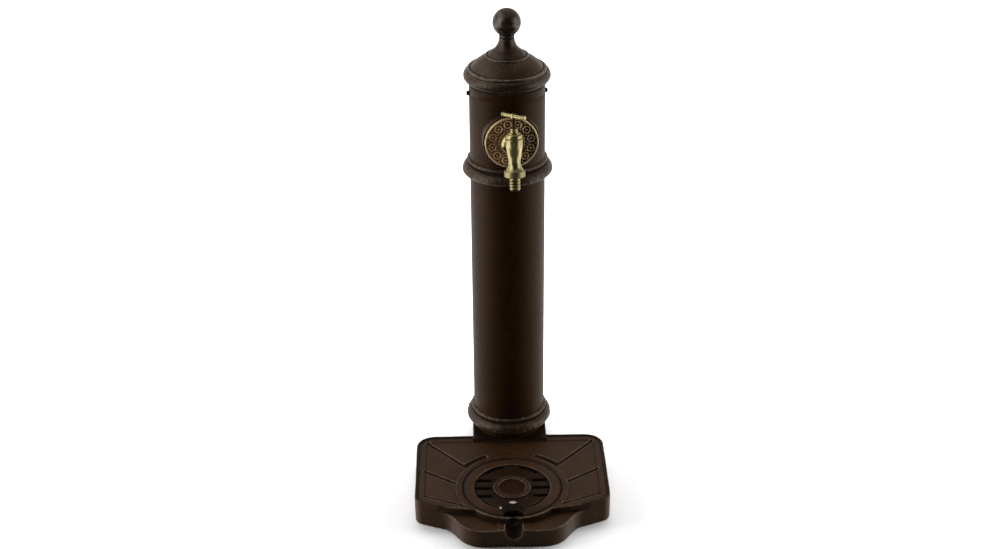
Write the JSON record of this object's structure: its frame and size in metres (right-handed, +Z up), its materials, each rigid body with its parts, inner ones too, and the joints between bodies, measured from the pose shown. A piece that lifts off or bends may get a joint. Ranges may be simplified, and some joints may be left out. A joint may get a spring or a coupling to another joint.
{
  "type": "garden standpipe",
  "caption": "Free-standing garden standpipe: round column with moulded cap and ball finial, brass bib tap with hose tail, and a cast drip tray with a lift-out drain grate.",
  "frame": {"origin": "on the column's axis at ground level, at the mouth of the supply inlet", "axes": "+Z up along the column, -Y forward over the drip tray, +X to the right as seen from the front"},
  "size_m": [0.37, 0.436, 0.9211],
  "materials": {
    "brown_iron": "satin brown paint over a sand-cast surface",
    "brown_paint": "satin brown paint",
    "polished_brass": "polished",
    "antique_brass": "antiqued, bright on the high points",
    "black_screws": "black, satin",
    "steel": "galvanised",
    "rubber": "matt",
    "fibre": "matt"
  },
  "bodies": {
    "standpipe": {"base_casting": "brown_iron", "column_tube": "brown_paint", "foot_flange": "brown_iron", "foot_bolts": "steel", "foot_washers": "steel", "foot_bead": "brown_iron", "mid_bead": "brown_iron", "column_cap": "brown_iron", "cap_screws": "black_screws", "finial": "brown_iron", "tap_boss": "brown_iron", "rosette": "antique_brass", "tap_body": "polished_brass", "bonnet": "polished_brass", "bonnet_washer": "fibre", "gland_nut": "polished_brass", "gland_packing": "fibre", "saddle_washer": "steel", "back_nut": "polished_brass", "pipe_elbow": "polished_brass", "riser_pipe": "steel", "riser_grommet": "rubber", "inlet_socket": "polished_brass"},
    "jumper": {"jumper_valve": "polished_brass", "valve_washer": "rubber", "washer_nut": "polished_brass"},
    "spindle": {"spindle": "polished_brass", "t_bar": "polished_brass"},
    "hose_tail": {"hose_tail": "polished_brass", "tail_washer": "rubber"},
    "hose_nut": {"union_nut": "polished_brass"},
    "grate": {"drain_grate": "brown_iron"}
  },
  "joints": [
    {"name": "jumper_lift", "type": "slide", "parent": "standpipe", "child": "jumper", "axis": [-0.0127, 0.1732, 0.9848], "range_m": [0, 0.00375]},
    {"name": "handle_turn", "type": "hinge", "parent": "jumper", "child": "spindle", "pos_m": [0.00859, -0.117, 0.74624], "axis": [-0.0127, 0.1732, 0.9848], "range_deg": [0, 540]},
    {"name": "tail_drop", "type": "slide", "parent": "standpipe", "child": "hose_tail", "axis": [0.0127, -0.1732, -0.9848], "range_m": [0, 0.00577]},
    {"name": "nut_turn", "type": "hinge", "parent": "hose_tail", "child": "hose_nut", "pos_m": [0.00972, -0.13242, 0.65859], "axis": [0.0127, -0.1732, -0.9848], "range_deg": [0, 900]},
    {"name": "grate_lift", "type": "slide", "parent": "standpipe", "child": "grate", "axis": [0, 0, 1], "range_m": [0, 0.08]}
  ],
  "couplings": [
    {"joint": "handle_turn", "follows": "jumper_lift", "rad_per_m": 2513.3},
    {"joint": "nut_turn", "follows": "tail_drop", "rad_per_m": 2721.2}
  ]
}
